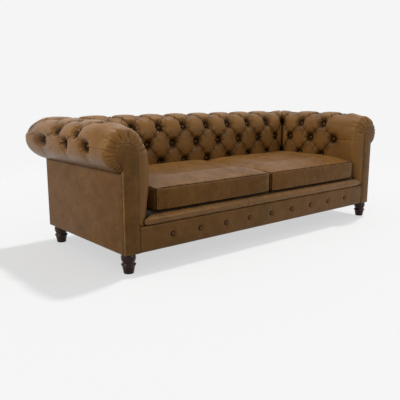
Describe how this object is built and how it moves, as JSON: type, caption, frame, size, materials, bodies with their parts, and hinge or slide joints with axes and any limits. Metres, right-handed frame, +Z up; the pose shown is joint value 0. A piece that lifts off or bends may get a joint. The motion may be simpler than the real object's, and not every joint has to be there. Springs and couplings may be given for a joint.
{
  "type": "chesterfield sofa",
  "caption": "Deep-buttoned leather sofa with rolled arms and back at one height, loose seat cushions, buttoned front border and turned feet.",
  "frame": {"origin": "on the floor, under the middle of the whole sofa", "axes": "+Z up, +X towards the right arm of someone who looks at the front, front towards -Y"},
  "size_m": [2.29, 0.9769, 0.7548],
  "materials": {
    "leather": "warm mid-brown hide, soft satin sheen",
    "buttons": "the same hide drawn over a button",
    "feet": "dark stained and polished hardwood",
    "timber": "planed hardwood",
    "board": "fibreboard",
    "foam": "cut foam with a fibre wrap",
    "cloth": "dark woven cloth",
    "steel": "zinc plated",
    "zips": "coil zip on a tape"
  },
  "bodies": {
    "sofa": {"back_buttons": "buttons", "back_corner_posts": "timber", "back_feet": "feet", "back_foam": "foam", "back_liner_board": "board", "back_seat_rail": "timber", "back_tack_rail": "timber", "back_top_rail": "timber", "back_uprights": "timber", "back_webbing": "cloth", "border_buttons": "buttons", "corner_blocks": "timber", "deck_cover": "cloth", "deck_foam": "foam", "dust_cover": "cloth", "foot_bolts": "steel", "front_border": "leather", "front_feet": "feet", "front_lip_cover": "leather", "front_lip_foam": "foam", "front_seat_rail": "timber", "left_arm_buttons": "buttons", "left_arm_foam": "foam", "left_arm_liner_board": "board", "left_arm_tack_rail": "timber", "left_arm_top_rail": "timber", "left_arm_uprights": "timber", "left_arm_webbing": "cloth", "left_facing": "leather", "left_front_post": "timber", "left_outside_arm_panel": "leather", "left_side_seat_rail": "timber", "left_tufted_arm_cover": "leather", "outside_back_panel": "leather", "right_arm_buttons": "buttons", "right_arm_foam": "foam", "right_arm_liner_board": "board", "right_arm_tack_rail": "timber", "right_arm_top_rail": "timber", "right_arm_uprights": "timber", "right_arm_webbing": "cloth", "right_facing": "leather", "right_front_post": "timber", "right_outside_arm_panel": "leather", "right_side_seat_rail": "timber", "right_tufted_arm_cover": "leather", "seat_cross_rails": "timber", "seat_springs": "steel", "spring_clips": "steel", "spring_cloth": "cloth", "tufted_back_cover": "leather"},
    "left_seat_cushion": {"left_cushion_cover": "leather", "left_cushion_foam": "foam", "left_cushion_zip": "zips"},
    "right_seat_cushion": {"right_cushion_cover": "leather", "right_cushion_foam": "foam", "right_cushion_zip": "zips"}
  },
  "joints": [
    {"name": "left_cushion_lift", "type": "slide", "parent": "sofa", "child": "left_seat_cushion", "axis": [0, 0, 1], "range_m": [0, 0.25]},
    {"name": "right_cushion_lift", "type": "slide", "parent": "sofa", "child": "right_seat_cushion", "axis": [0, 0, 1], "range_m": [0, 0.25]}
  ]
}
